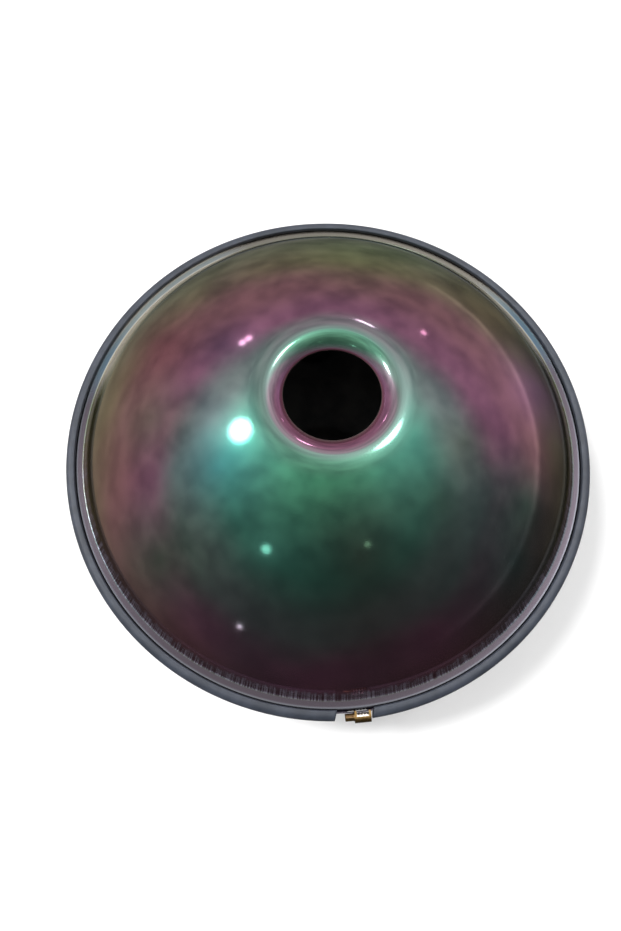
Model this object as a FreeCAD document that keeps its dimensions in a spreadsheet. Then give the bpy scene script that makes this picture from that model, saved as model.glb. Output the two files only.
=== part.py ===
import FreeCAD, Part
import math
import os

import Sketcher

# Handpan standing with its port up. Millimetres, +Z up.
# The origin is under the centre, on the plane that the ding's flat ring rests on.
# The rim clamp is at the front, on the -Y side.

os.makedirs("parts", exist_ok=True)
doc = FreeCAD.newDocument("Handpan")

# ---------------------------------------------------------------- driving dimensions

DIMENSIONS = {
    # sheet steel and the glued joint between the shells
    "sheet": 1.2,
    "glue": 0.8,
    "glue_inner_radius": 250.0,
    "flange_radius": 257.0,
    "foot_radius": 3.0,
    # port shell, heights above the parting plane
    "port_dome_radius": 294.8,
    "port_dome_apex": 135.3,
    "port_radius": 41.6,
    "neck_length": 1.2,
    "neck_turn_radius": 4.0,
    "lip_radius": 19.0,
    "lip_width": 16.0,
    "lip_height": 128.2,
    # ding shell, depths below the parting plane
    "rest_depth": 120.0,
    "ding_dome_radius": 305.0,
    "ding_dome_apex": 126.4,
    "ding_dimple_radius": 40.0,
    "ding_dimple_depth": 6.0,
    # tone fields: flats on the ding dome, each with an oval dimple
    "field_circle": 155.0,
    "largest_field": 58.0,
    "field_step": 1.2,
    "dimple_depth": 4.5,
    "dimple_rise": 40.0,
    "dimple_long": 56.0,
    "dimple_wide": 43.0,
    # rim guard, a slit hose
    "guard_radius": 265.0,
    "guard_lip_radius": 255.4,
    "guard_half_height": 6.0,
    "guard_wall": 1.3,
    "guard_lip_round": 1.2,
    "gap_left_outer": 21.7,
    "gap_left_inner": 17.2,
    "gap_right_outer": 12.6,
    "gap_right_inner": 15.5,
    # clamp band and its slotted tongue
    "band_width": 9.0,
    "band_thickness": 0.6,
    "band_clearance": 0.1,
    "band_open_angle": 4.0,
    "tongue_width": 8.2,
    "tongue_clearance": 0.15,
    "tongue_tail_angle": 7.5,
    "tongue_root_angle": 6.0,
    "slot_width": 1.7,
    "slot_length": 5.6,
    # worm screw and its housing, along the tangent
    "thread_pitch": 2.8,
    "thread_depth": 1.3,
    "thread_bite": 0.5,
    "thread_crest": 0.7,
    "thread_root": 1.3,
    "thread_turns": 4.0,
    "thread_start": -1.2,
    "head_flats": 6.3,
    "head_corner_radius": 3.55,
    "head_length": 7.4,
    "head_slot_width": 1.1,
    "head_slot_depth": 2.2,
    "collar_length": 0.9,
    "running_clearance": 0.3,
    "end_play": 0.2,
    "shank_clearance": 0.2,
    "shank_end": 0.3,
    "housing_wall": 0.9,
    "housing_left": 2.9,
    "housing_length": 14.6,
    "window_post": 1.8,
    "window_reach": 5.4,
}
FIELD_COUNT = 8
SLOT_COUNT = 10
SLOTS_LEFT_OF_THREAD = 5

sheet = doc.addObject("Spreadsheet::Sheet", "Dims")
for row, (alias, value) in enumerate(DIMENSIONS.items(), start=1):
    sheet.set(f"A{row}", alias)
    sheet.set(f"B{row}", str(value))
    sheet.setAlias(f"B{row}", alias)
doc.recompute()

# Lengths that follow from the driving dimensions, as expressions of the sheet.
STACK = "(Dims.glue / 2 + Dims.sheet)"
BAND_INNER = "(Dims.flange_radius + Dims.band_clearance)"
BAND_OUTER = f"({BAND_INNER} + Dims.band_thickness)"
TONGUE_INNER = f"({BAND_OUTER} + Dims.tongue_clearance)"
TONGUE_OUTER = f"({TONGUE_INNER} + Dims.band_thickness)"
HOUSING_INNER = "(Dims.band_width / 2)"
HOUSING_OUTER = f"({HOUSING_INNER} + Dims.housing_wall)"
THREAD_RADIUS = f"({HOUSING_INNER} - Dims.running_clearance)"
SHANK_RADIUS = f"({THREAD_RADIUS} - Dims.thread_depth)"
SCREW_AXIS = f"({TONGUE_OUTER} - Dims.thread_bite + {THREAD_RADIUS})"
TONGUE_MIDDLE = f"({TONGUE_INNER} + Dims.band_thickness / 2)"
SLOT_LEAN = f"(Dims.thread_pitch / (2 * pi * ({THREAD_RADIUS} - Dims.thread_bite / 2)))"
HOUSING_RIGHT = "(Dims.housing_length - Dims.housing_left)"
COLLAR_RIGHT = "(-Dims.housing_left - Dims.end_play)"
COLLAR_LEFT = f"({COLLAR_RIGHT} - Dims.collar_length)"
HEAD_LEFT = f"({COLLAR_LEFT} - Dims.head_length)"

# The shoulder leaves the lip at its crest and runs into the dome with no corner.
CREST_DROP = "(Dims.port_dome_apex - Dims.lip_height)"
SHOULDER_RADIUS = (
    f"(Dims.port_dome_radius - ((Dims.port_radius + Dims.lip_width)^2 + {CREST_DROP}^2)"
    f" / (2 * {CREST_DROP}))")


# ---------------------------------------------------------------- sketch helpers

def value(expression):
    """Number that an expression of the sheet gives."""
    result = sheet.evalExpression(expression)
    return float(getattr(result, "Value", result))


def new_body(name):
    """Empty body, with the parting plane or the clamp placed by the caller."""
    body = doc.addObject("PartDesign::Body", name)
    body.Label = name
    return body


def new_sketch(body, name, role):
    """Sketch on one of the body's own origin planes."""
    sketch = body.newObject("Sketcher::SketchObject", name)
    plane = next(item for item in body.Origin.OriginFeatures if item.Role == role)
    sketch.AttachmentSupport = (plane, "")
    sketch.MapMode = "FlatFace"
    return sketch


def origin_axis(body, role):
    """One of the body's own origin axes, as a link for a feature."""
    return next(item for item in body.Origin.OriginFeatures if item.Role == role)


def bind(sketch, constraint, expression):
    """Add a driving constraint whose value follows the sheet."""
    index = sketch.addConstraint(Sketcher.Constraint(*constraint, value(expression)))
    sketch.setExpression(f"Constraints[{index}]", expression)


def pin(sketch, geometry, point, across, up):
    """Hold a point at the coordinates that two expressions give."""
    bind(sketch, ("DistanceX", -1, 1, geometry, point), across)
    bind(sketch, ("DistanceY", -1, 1, geometry, point), up)


def polygon(sketch, corners):
    """Closed outline of straight edges through corners given as expressions."""
    points = [FreeCAD.Vector(value(across), value(up), 0) for across, up in corners]
    for start, end in zip(points, points[1:] + points[:1]):
        sketch.addGeometry(Part.LineSegment(start, end))
    for index in range(len(points)):
        before = (index - 1) % len(points)
        sketch.addConstraint(Sketcher.Constraint("Coincident", before, 2, index, 1))
    for index, (across, up) in enumerate(corners):
        pin(sketch, index, 1, across, up)


def arc(center, radius, start, end):
    """Arc of a circle in a sketch, its angles in radians, counter-clockwise."""
    circle = Part.Circle(FreeCAD.Vector(*center, 0), FreeCAD.Vector(0, 0, 1), radius)
    return Part.ArcOfCircle(circle, start, end)


def line(start, end):
    """Straight edge in a sketch."""
    return Part.LineSegment(FreeCAD.Vector(*start, 0), FreeCAD.Vector(*end, 0))


def revolve(body, name, sketch, role="Z_Axis", angle="360"):
    """Turn a sketch about one of the body's origin axes."""
    turned = body.newObject("PartDesign::Revolution", name)
    turned.Profile = sketch
    turned.ReferenceAxis = (origin_axis(body, role), [""])
    turned.setExpression("Angle", angle)
    return turned


def pocket_both_ways(body, name, sketch):
    """Cut a sketch through the whole body, to both sides of its plane."""
    cut = body.newObject("PartDesign::Pocket", name)
    cut.Profile = sketch
    cut.Midplane = True
    cut.Type = "ThroughAll"
    return cut


# ---------------------------------------------------------------- port shell

def direction(start, end):
    """Angle of the way from one point to another."""
    return math.atan2(end[1] - start[1], end[0] - start[0])


def tangent_chain(sketch, joints):
    """Join edges end to end with tangent corners."""
    for first, first_end, second, second_end in joints:
        sketch.addConstraint(
            Sketcher.Constraint("Tangent", first, first_end, second, second_end))


def corner_chain(sketch, joints):
    """Join edges end to end with sharp corners."""
    for first, first_end, second, second_end in joints:
        sketch.addConstraint(
            Sketcher.Constraint("Coincident", first, first_end, second, second_end))


def port_shell_section(sketch):
    """Half section of the port shell: neck, rolled lip, shoulder, dome, foot and flange."""
    steel, stack = value("Dims.sheet"), value(STACK)
    neck, length = value("Dims.port_radius"), value("Dims.neck_length")
    turn, lip = value("Dims.neck_turn_radius"), value("Dims.lip_radius")
    width, top = value("Dims.lip_width"), value("Dims.lip_height")
    dome, shoulder = value("Dims.port_dome_radius"), value(SHOULDER_RADIUS)
    foot, edge = value("Dims.foot_radius"), value("Dims.flange_radius")

    lip_at = (neck + width, top - lip)
    turn_at = (neck + turn,
               lip_at[1] + math.sqrt((lip - turn) ** 2 - (width - turn) ** 2))
    shoulder_at = (neck + width, top - shoulder)
    dome_at = (0.0, value("Dims.port_dome_apex") - dome)
    foot_up = stack + foot
    foot_at = (math.sqrt((dome + foot) ** 2 - (foot_up - dome_at[1]) ** 2), foot_up)
    crest = 0.5 * math.pi
    lip_end = direction(lip_at, turn_at)
    dome_top, dome_low = direction(dome_at, shoulder_at), direction(dome_at, foot_at)

    sketch.addGeometry([
        line((neck, turn_at[1] - length), (neck, turn_at[1])),
        arc(turn_at, turn, lip_end, math.pi),
        arc(lip_at, lip, crest, lip_end),
        arc(shoulder_at, shoulder, dome_top, crest),
        arc(dome_at, dome, dome_low, dome_top),
        arc(foot_at, foot, dome_low + math.pi, 1.5 * math.pi),
        line((foot_at[0], stack), (edge, stack)),
        line((edge, stack), (edge, stack - steel)),
        line((edge, stack - steel), (foot_at[0], stack - steel)),
        arc(foot_at, foot + steel, dome_low + math.pi, 1.5 * math.pi),
        arc(dome_at, dome - steel, dome_low, dome_top),
        arc(shoulder_at, shoulder - steel, dome_top, crest),
        arc(lip_at, lip - steel, crest, lip_end),
        arc(turn_at, turn - steel, lip_end, math.pi),
        line((neck + steel, turn_at[1]), (neck + steel, turn_at[1] - length)),
        line((neck + steel, turn_at[1] - length), (neck, turn_at[1] - length)),
    ])
    tangent_chain(sketch, [
        (0, 2, 1, 2), (1, 1, 2, 2), (2, 1, 3, 2), (3, 1, 4, 2), (4, 1, 5, 1), (5, 2, 6, 1),
        (8, 2, 9, 2), (9, 1, 10, 1), (10, 2, 11, 1), (11, 2, 12, 1), (12, 2, 13, 1),
        (13, 2, 14, 1),
    ])
    corner_chain(sketch, [(6, 2, 7, 1), (7, 2, 8, 1), (14, 2, 15, 1), (15, 2, 0, 1)])
    for outer, inner in ((1, 13), (2, 12), (3, 11), (4, 10), (5, 9)):
        sketch.addConstraint(Sketcher.Constraint("Coincident", outer, 3, inner, 3))
    for upright in (0, 7, 14):
        sketch.addConstraint(Sketcher.Constraint("Vertical", upright))
    for level in (6, 8, 15):
        sketch.addConstraint(Sketcher.Constraint("Horizontal", level))
    sketch.addConstraint(Sketcher.Constraint("PointOnObject", 4, 3, -2))
    bind(sketch, ("DistanceX", -1, 1, 0, 2), "Dims.port_radius")
    bind(sketch, ("DistanceY", 0, 1, 0, 2), "Dims.neck_length")
    bind(sketch, ("Radius", 1), "Dims.neck_turn_radius")
    bind(sketch, ("Radius", 2), "Dims.lip_radius")
    bind(sketch, ("DistanceX", -1, 1, 2, 3), "Dims.port_radius + Dims.lip_width")
    bind(sketch, ("DistanceY", -1, 1, 2, 3), "Dims.lip_height - Dims.lip_radius")
    bind(sketch, ("DistanceX", -1, 1, 3, 3), "Dims.port_radius + Dims.lip_width")
    bind(sketch, ("Radius", 4), "Dims.port_dome_radius")
    bind(sketch, ("Radius", 5), "Dims.foot_radius")
    bind(sketch, ("DistanceY", 4, 3, -1, 1), "Dims.port_dome_radius - Dims.port_dome_apex")
    bind(sketch, ("DistanceX", -1, 1, 6, 2), "Dims.flange_radius")
    bind(sketch, ("DistanceY", -1, 1, 6, 2), STACK)
    bind(sketch, ("DistanceY", 7, 2, 7, 1), "Dims.sheet")


bottom_shell = new_body("bottom_shell")
port_section = new_sketch(bottom_shell, "PortSection", "XZ_Plane")
port_shell_section(port_section)
revolve(bottom_shell, "PortShellTurn", port_section)


# ---------------------------------------------------------------- ding shell

def ding_blank(name, inset, floor):
    """Solid dome, flange down, whose skin lies an inset inside the ding shell's outer skin."""
    body = new_body(name)
    sketch = new_sketch(body, name + "Section", "XZ_Plane")
    stack = f"({STACK} - {inset})"
    dome = value(f"Dims.ding_dome_radius - {inset}")
    foot = value(f"Dims.foot_radius + {inset}")
    edge, level, low = value("Dims.flange_radius"), value(stack), value(floor)
    dome_at = (0.0, value("Dims.ding_dome_apex - Dims.ding_dome_radius"))
    foot_up = level + foot
    foot_at = (math.sqrt((dome + foot) ** 2 - (foot_up - dome_at[1]) ** 2), foot_up)
    dome_low = direction(dome_at, foot_at)
    sketch.addGeometry([
        arc(dome_at, dome, dome_low, 0.5 * math.pi),
        arc(foot_at, foot, dome_low + math.pi, 1.5 * math.pi),
        line((foot_at[0], level), (edge, level)),
        line((edge, level), (edge, low)),
        line((edge, low), (0, low)),
        line((0, low), (0, dome + dome_at[1])),
    ])
    tangent_chain(sketch, [(0, 1, 1, 1), (1, 2, 2, 1)])
    corner_chain(sketch, [(2, 2, 3, 1), (3, 2, 4, 1), (4, 2, 5, 1), (5, 2, 0, 2)])
    for upright in (3, 5):
        sketch.addConstraint(Sketcher.Constraint("Vertical", upright))
    for flat in (2, 4):
        sketch.addConstraint(Sketcher.Constraint("Horizontal", flat))
    sketch.addConstraint(Sketcher.Constraint("PointOnObject", 0, 3, -2))
    sketch.addConstraint(Sketcher.Constraint("PointOnObject", 0, 2, -2))
    bind(sketch, ("Radius", 0), f"Dims.ding_dome_radius - {inset}")
    bind(sketch, ("Radius", 1), f"Dims.foot_radius + {inset}")
    bind(sketch, ("DistanceY", 0, 3, -1, 1), "Dims.ding_dome_radius - Dims.ding_dome_apex")
    bind(sketch, ("DistanceY", -1, 1, 2, 2), stack)
    bind(sketch, ("DistanceX", -1, 1, 2, 2), "Dims.flange_radius")
    bind(sketch, ("DistanceY", -1, 1, 4, 2), floor)
    revolve(body, name + "Turn", sketch)
    return body


def place_about_dome(tool, reach, tilt, azimuth):
    """Set a tool on a ray from the ding dome's centre, at a reach and a tilt from the axis."""
    turn = math.radians(azimuth)
    tool.Placement.Rotation = FreeCAD.Rotation(
        FreeCAD.Vector(-math.sin(turn), math.cos(turn), 0), 1)
    side = f"({reach}) * sin({tilt})"
    tool.setExpression("Placement.Rotation.Angle", tilt)
    tool.setExpression("Placement.Base.x", f"{side} * cos({azimuth} deg)")
    tool.setExpression("Placement.Base.y", f"{side} * sin({azimuth} deg)")
    tool.setExpression(
        "Placement.Base.z",
        f"({reach}) * cos({tilt}) + Dims.ding_dome_apex - Dims.ding_dome_radius")


def flat_cutter(name, reach, radius, tilt, azimuth):
    """Cylinder that planes the dome flat beyond a reach from its centre."""
    cutter = doc.addObject("Part::Cylinder", name)
    cutter.setExpression("Radius", f"{radius} + 4 * Dims.sheet")
    cutter.setExpression("Height", "Dims.ding_dome_radius / 10")
    place_about_dome(cutter, reach, tilt, azimuth)
    return cutter


def field_cutters(suffix, inset):
    """Tools that press the ding's flat and dimple and the tone fields into one skin."""
    dome = "Dims.ding_dome_radius"
    ding_reach = f"{dome} - Dims.ding_dome_apex + Dims.rest_depth"
    ding_ball = (
        "((Dims.ding_dimple_radius^2 + Dims.ding_dimple_depth^2)"
        " / (2 * Dims.ding_dimple_depth))")
    ding_flat = flat_cutter(
        "DingFlat" + suffix, f"{ding_reach} - {inset}", "Dims.ding_dimple_radius * 2", "0 deg", 0)
    ding_dimple = doc.addObject("Part::Sphere", "DingDimple" + suffix)
    ding_dimple.setExpression("Radius", f"{ding_ball} + {inset}")
    place_about_dome(
        ding_dimple, f"{ding_reach} + {ding_ball} - Dims.ding_dimple_depth", "0 deg", 0)
    cutters = [ding_flat, ding_dimple]
    tilt = f"asin(Dims.field_circle / {dome})"
    for note in range(FIELD_COUNT):
        step = 360 / FIELD_COUNT
        side = 1 if note % 2 else -1
        azimuth = 90 + side * step * ((note + 1) // 2)
        radius = f"(Dims.largest_field - {note} * Dims.field_step)"
        reach = f"sqrt({dome}^2 - {radius}^2)"
        cutters.append(flat_cutter(
            f"FieldFlat{note}{suffix}", f"{reach} - {inset}", radius, tilt, azimuth))
        dimple = doc.addObject("Part::Ellipsoid", f"FieldDimple{note}{suffix}")
        dimple.setExpression("Radius1", f"Dims.dimple_rise + {inset}")
        dimple.setExpression("Radius2", f"Dims.dimple_wide + {inset}")
        dimple.setExpression("Radius3", f"Dims.dimple_long + {inset}")
        place_about_dome(
            dimple, f"{reach} + Dims.dimple_rise - Dims.dimple_depth", tilt, azimuth)
        cutters.append(dimple)
    fused = doc.addObject("Part::MultiFuse", "FieldTools" + suffix)
    fused.Shapes = cutters
    return fused


def cut(name, base, tool):
    """Boolean difference of two objects."""
    result = doc.addObject("Part::Cut", name)
    result.Base, result.Tool = base, tool
    return result


outer_skin = cut(
    "OuterSkin", ding_blank("DingOuter", "0", "Dims.glue / 2"), field_cutters("Outer", "0"))
inner_skin = cut(
    "InnerSkin", ding_blank("DingInner", "Dims.sheet", "-Dims.glue"),
    field_cutters("Inner", "Dims.sheet"))
top_shell = cut("top_shell", outer_skin, inner_skin)
top_shell.Label = "top_shell"
top_shell.Placement.Rotation = FreeCAD.Rotation(FreeCAD.Vector(1, 0, 0), 180)


# ---------------------------------------------------------------- seam, guard and band

def turned_ring(name, corners):
    """Full ring of revolution with a straight-sided section."""
    body = new_body(name)
    sketch = new_sketch(body, name + "Section", "XZ_Plane")
    polygon(sketch, corners)
    revolve(body, name + "Turn", sketch)
    return body


def block(inner, outer, low, high):
    """Corners of a rectangle between expressions."""
    return [(inner, low), (outer, low), (outer, high), (inner, high)]


seam_adhesive = turned_ring("seam_adhesive", block(
    "Dims.glue_inner_radius", "Dims.flange_radius", "-Dims.glue / 2", "Dims.glue / 2"))


def guard_section(sketch):
    """Section of the slit hose: two lips that grip the flanges, and a round back."""
    outer, lip = value("Dims.guard_radius"), value("Dims.guard_lip_radius")
    half, wall = value("Dims.guard_half_height"), value("Dims.guard_wall")
    nose, stack = value("Dims.guard_lip_round"), value(STACK)
    back, inner_half = outer - half, half - wall
    quarter = 0.5 * math.pi
    sketch.addGeometry([
        line((lip, stack), (lip, half - nose)),
        arc((lip + nose, half - nose), nose, quarter, 2 * quarter),
        line((lip + nose, half), (back, half)),
        arc((back, 0), half, -quarter, quarter),
        line((back, -half), (lip + nose, -half)),
        arc((lip + nose, nose - half), nose, 2 * quarter, 3 * quarter),
        line((lip, nose - half), (lip, -stack)),
        line((lip, -stack), (lip + wall, -stack)),
        line((lip + wall, -stack), (lip + wall, -inner_half)),
        line((lip + wall, -inner_half), (back, -inner_half)),
        arc((back, 0), inner_half, -quarter, quarter),
        line((back, inner_half), (lip + wall, inner_half)),
        line((lip + wall, inner_half), (lip + wall, stack)),
        line((lip + wall, stack), (lip, stack)),
    ])
    tangent_chain(sketch, [
        (0, 2, 1, 2), (1, 1, 2, 1), (2, 2, 3, 2), (3, 1, 4, 1), (4, 2, 5, 2), (5, 1, 6, 1),
        (9, 2, 10, 1), (10, 2, 11, 1),
    ])
    corner_chain(sketch, [(6, 2, 7, 1), (7, 2, 8, 1), (8, 2, 9, 1), (11, 2, 12, 1),
                          (12, 2, 13, 1), (13, 2, 0, 1)])
    for upright in (0, 6, 8, 12):
        sketch.addConstraint(Sketcher.Constraint("Vertical", upright))
    for level in (2, 4, 7, 9, 11, 13):
        sketch.addConstraint(Sketcher.Constraint("Horizontal", level))
    sketch.addConstraint(Sketcher.Constraint("Coincident", 3, 3, 10, 3))
    sketch.addConstraint(Sketcher.Constraint("Equal", 1, 5))
    sketch.addConstraint(Sketcher.Constraint("PointOnObject", 3, 3, -1))
    bind(sketch, ("DistanceX", -1, 1, 0, 1), "Dims.guard_lip_radius")
    bind(sketch, ("DistanceX", -1, 1, 6, 2), "Dims.guard_lip_radius")
    bind(sketch, ("DistanceX", -1, 1, 3, 3), "Dims.guard_radius - Dims.guard_half_height")
    bind(sketch, ("Radius", 3), "Dims.guard_half_height")
    bind(sketch, ("Radius", 10), "Dims.guard_half_height - Dims.guard_wall")
    bind(sketch, ("Radius", 1), "Dims.guard_lip_round")
    bind(sketch, ("DistanceX", 13, 2, 13, 1), "Dims.guard_wall")
    bind(sketch, ("DistanceX", 7, 1, 7, 2), "Dims.guard_wall")
    bind(sketch, ("DistanceY", -1, 1, 0, 1), STACK)
    bind(sketch, ("DistanceY", 7, 1, -1, 1), STACK)


rim_guard = new_body("rim_guard")
hose_section = new_sketch(rim_guard, "HoseSection", "XZ_Plane")
guard_section(hose_section)
revolve(rim_guard, "HoseTurn", hose_section)
hose_gap = new_sketch(rim_guard, "HoseGap", "XY_Plane")
polygon(hose_gap, [
    ("-Dims.gap_left_outer", "-Dims.guard_radius - 1"),
    ("Dims.gap_right_outer", "-Dims.guard_radius - 1"),
    ("Dims.gap_right_inner", "-Dims.guard_lip_radius + Dims.guard_wall + 2"),
    ("-Dims.gap_left_inner", "-Dims.guard_lip_radius + Dims.guard_wall + 2"),
])
pocket_both_ways(rim_guard, "ClampGap", hose_gap)

clamp_band = new_body("clamp_band")
band_section = new_sketch(clamp_band, "BandSection", "XZ_Plane")
polygon(band_section, block(
    BAND_INNER, BAND_OUTER, "-Dims.band_width / 2", "Dims.band_width / 2"))
revolve(clamp_band, "BandTurn", band_section, angle="360 - Dims.band_open_angle")
clamp_band.setExpression("Placement.Rotation.Angle", "-90 + Dims.band_open_angle / 2")

# The tongue lies on the band under the worm, and its slots take the worm's thread.
clamp_tongue = new_body("clamp_tongue")
tongue_section = new_sketch(clamp_tongue, "TongueSection", "YZ_Plane")
polygon(tongue_section, block(
    f"-{TONGUE_OUTER}", f"-{TONGUE_INNER}", "-Dims.tongue_width / 2", "Dims.tongue_width / 2"))
tongue_turn = revolve(
    clamp_tongue, "TongueTurn", tongue_section, angle="Dims.tongue_root_angle")
tongue_turn.Type = "TwoAngles"
tongue_turn.setExpression("Angle2", "Dims.tongue_tail_angle")
slot_step = f"(Dims.thread_pitch / {TONGUE_MIDDLE} * 180 / pi)"
first_slot = new_sketch(clamp_tongue, "FirstSlot", "XZ_Plane")
first_slot.AttachmentOffset = FreeCAD.Placement(
    FreeCAD.Vector(), FreeCAD.Rotation(FreeCAD.Vector(0, 1, 0), 1))
first_slot.setExpression(
    "AttachmentOffset.Rotation.Angle",
    f"Dims.thread_start / {TONGUE_MIDDLE} * 180 / pi - {SLOTS_LEFT_OF_THREAD} * {slot_step}")
half_long, half_wide = "Dims.slot_length / 2", "Dims.slot_width / 2"
lean = f"{SLOT_LEAN} * {half_long}"
polygon(first_slot, [
    (f"-{half_wide} - {lean}", f"-{half_long}"),
    (f"{half_wide} - {lean}", f"-{half_long}"),
    (f"{half_wide} + {lean}", f"{half_long}"),
    (f"-{half_wide} + {lean}", f"{half_long}"),
])
slot_cut = clamp_tongue.newObject("PartDesign::Pocket", "SlotCut")
slot_cut.Profile = first_slot
slot_cut.Type = "ThroughAll"
slot_cut.Reversed = True
slots = clamp_tongue.newObject("PartDesign::PolarPattern", "Slots")
slots.Originals = [slot_cut]
slots.Axis = (origin_axis(clamp_tongue, "Z_Axis"), [""])
slots.Occurrences = SLOT_COUNT
slots.setExpression("Angle", f"{SLOT_COUNT - 1} * {slot_step}")
clamp_tongue.Tip = slots


# ---------------------------------------------------------------- worm screw and housing

def offset_sketch(body, name, along):
    """Sketch across the screw's axis, at a distance along it."""
    sketch = new_sketch(body, name, "YZ_Plane")
    sketch.setExpression("AttachmentOffset.Base.z", along)
    return sketch


def arch(sketch, radius, reach):
    """Half circle away from the rim, with straight legs to a reach towards the rim."""
    size, leg = value(radius), value(reach)
    sketch.addGeometry([
        arc((0, 0), size, 0.5 * math.pi, 1.5 * math.pi),
        line((0, -size), (leg, -size)),
        line((leg, -size), (leg, size)),
        line((leg, size), (0, size)),
    ])
    tangent_chain(sketch, [(0, 2, 1, 1), (3, 2, 0, 1)])
    corner_chain(sketch, [(1, 2, 2, 1), (2, 2, 3, 1)])
    sketch.addConstraint(Sketcher.Constraint("Coincident", 0, 3, -1, 1))
    sketch.addConstraint(Sketcher.Constraint("Horizontal", 1))
    sketch.addConstraint(Sketcher.Constraint("Horizontal", 3))
    sketch.addConstraint(Sketcher.Constraint("Vertical", 2))
    bind(sketch, ("Radius", 0), radius)
    bind(sketch, ("DistanceX", -1, 1, 1, 2), reach)


def pad(body, name, sketch, length):
    """Extrude a sketch along its normal."""
    feature = body.newObject("PartDesign::Pad", name)
    feature.Profile = sketch
    feature.setExpression("Length", length)
    return feature


def pocket_along(body, name, sketch, length):
    """Cut a sketch into the body along the sketch's normal."""
    feature = body.newObject("PartDesign::Pocket", name)
    feature.Profile = sketch
    feature.Reversed = True
    feature.setExpression("Length", length)
    return feature


LEG_REACH = f"({SCREW_AXIS} - {BAND_INNER})"
PASSAGE = f"({SCREW_AXIS} - {TONGUE_OUTER} - Dims.running_clearance)"

screw_housing = new_body("screw_housing")
arch_sketch = offset_sketch(screw_housing, "HousingArch", "-Dims.housing_left")
arch(arch_sketch, HOUSING_OUTER, LEG_REACH)
pad(screw_housing, "HousingPad", arch_sketch, "Dims.housing_length")

worm_room = offset_sketch(screw_housing, "WormRoom", "Dims.housing_wall - Dims.housing_left")
arch(worm_room, HOUSING_INNER, f"{LEG_REACH} + 1")
pocket_along(screw_housing, "WormRoomCut", worm_room,
             "Dims.housing_length - 2 * Dims.housing_wall")

shank_slot = offset_sketch(screw_housing, "ShankSlot", "-Dims.housing_left")
arch(shank_slot, f"{SHANK_RADIUS} + Dims.shank_clearance", f"{LEG_REACH} + 1")
pocket_along(screw_housing, "ShankSlotCut", shank_slot, "Dims.housing_length")

band_passage = offset_sketch(screw_housing, "BandPassage", "-Dims.housing_left")
polygon(band_passage, block(
    PASSAGE, f"{LEG_REACH} + 1", f"-{HOUSING_INNER}", HOUSING_INNER))
pocket_along(screw_housing, "BandPassageCut", band_passage, "Dims.housing_length")

window = new_sketch(screw_housing, "Window", "XY_Plane")
polygon(window, block(
    "Dims.window_post - Dims.housing_left", f"{HOUSING_RIGHT} - Dims.window_post",
    "0", "Dims.window_reach"))
pocket_both_ways(screw_housing, "WindowCut", window)

worm_screw = new_body("worm_screw")
shank = new_sketch(worm_screw, "ShankSection", "XY_Plane")
shank_tip = f"{HOUSING_RIGHT} + Dims.shank_end"
polygon(shank, [
    (COLLAR_LEFT, "0"),
    (shank_tip, "0"),
    (shank_tip, f"{SHANK_RADIUS} - Dims.shank_end"),
    (HOUSING_RIGHT, SHANK_RADIUS),
    (COLLAR_RIGHT, SHANK_RADIUS),
    (COLLAR_RIGHT, "Dims.head_corner_radius"),
    (COLLAR_LEFT, "Dims.head_corner_radius"),
])
revolve(worm_screw, "ShankTurn", shank, role="X_Axis")

hexagon = offset_sketch(worm_screw, "HeadHexagon", HEAD_LEFT)
polygon(hexagon, [
    (f"Dims.head_flats / sqrt(3) * cos({60 * corner + 30} deg)",
     f"Dims.head_flats / sqrt(3) * sin({60 * corner + 30} deg)")
    for corner in range(6)
])
pad(worm_screw, "HeadPad", hexagon, "Dims.head_length")

corner_cut = new_sketch(worm_screw, "CornerCut", "XY_Plane")
bevel = "(Dims.head_corner_radius - Dims.head_flats / 2 + 0.1)"
polygon(corner_cut, [
    (f"{HEAD_LEFT} - 1", "Dims.head_flats / 2 - 0.1"),
    (HEAD_LEFT, "Dims.head_flats / 2 - 0.1"),
    (f"{HEAD_LEFT} + {bevel}", "Dims.head_corner_radius"),
    (COLLAR_LEFT, "Dims.head_corner_radius"),
    (COLLAR_LEFT, "Dims.head_flats"),
    (f"{HEAD_LEFT} - 1", "Dims.head_flats"),
])
head_turning = worm_screw.newObject("PartDesign::Groove", "HeadTurning")
head_turning.Profile = corner_cut
head_turning.ReferenceAxis = (origin_axis(worm_screw, "X_Axis"), [""])
head_turning.Angle = 360

driver_slot = offset_sketch(worm_screw, "DriverSlot", HEAD_LEFT)
polygon(driver_slot, block(
    "-Dims.head_flats", "Dims.head_flats", "-Dims.head_slot_width / 2", "Dims.head_slot_width / 2"))
pocket_along(worm_screw, "DriverSlotCut", driver_slot, "Dims.head_slot_depth")

thread_profile = new_sketch(worm_screw, "ThreadProfile", "XY_Plane")
polygon(thread_profile, [
    ("Dims.thread_start - Dims.thread_root / 2", f"{SHANK_RADIUS} - 0.1"),
    ("Dims.thread_start + Dims.thread_root / 2", f"{SHANK_RADIUS} - 0.1"),
    ("Dims.thread_start + Dims.thread_crest / 2", THREAD_RADIUS),
    ("Dims.thread_start - Dims.thread_crest / 2", THREAD_RADIUS),
])
thread = worm_screw.newObject("PartDesign::AdditiveHelix", "Thread")
thread.Profile = thread_profile
thread.ReferenceAxis = (origin_axis(worm_screw, "X_Axis"), [""])
thread.Mode = "pitch-turns-angle"
thread.setExpression("Pitch", "Dims.thread_pitch")
thread.setExpression("Turns", "Dims.thread_turns")

# ---------------------------------------------------------------- places and files

PARTS = [
    bottom_shell, top_shell, seam_adhesive, rim_guard,
    clamp_band, clamp_tongue, screw_housing, worm_screw,
]
for part in PARTS:
    part.setExpression("Placement.Base.z", "Dims.rest_depth")
for part in (screw_housing, worm_screw):
    part.setExpression("Placement.Base.y", f"-{SCREW_AXIS}")

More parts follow.
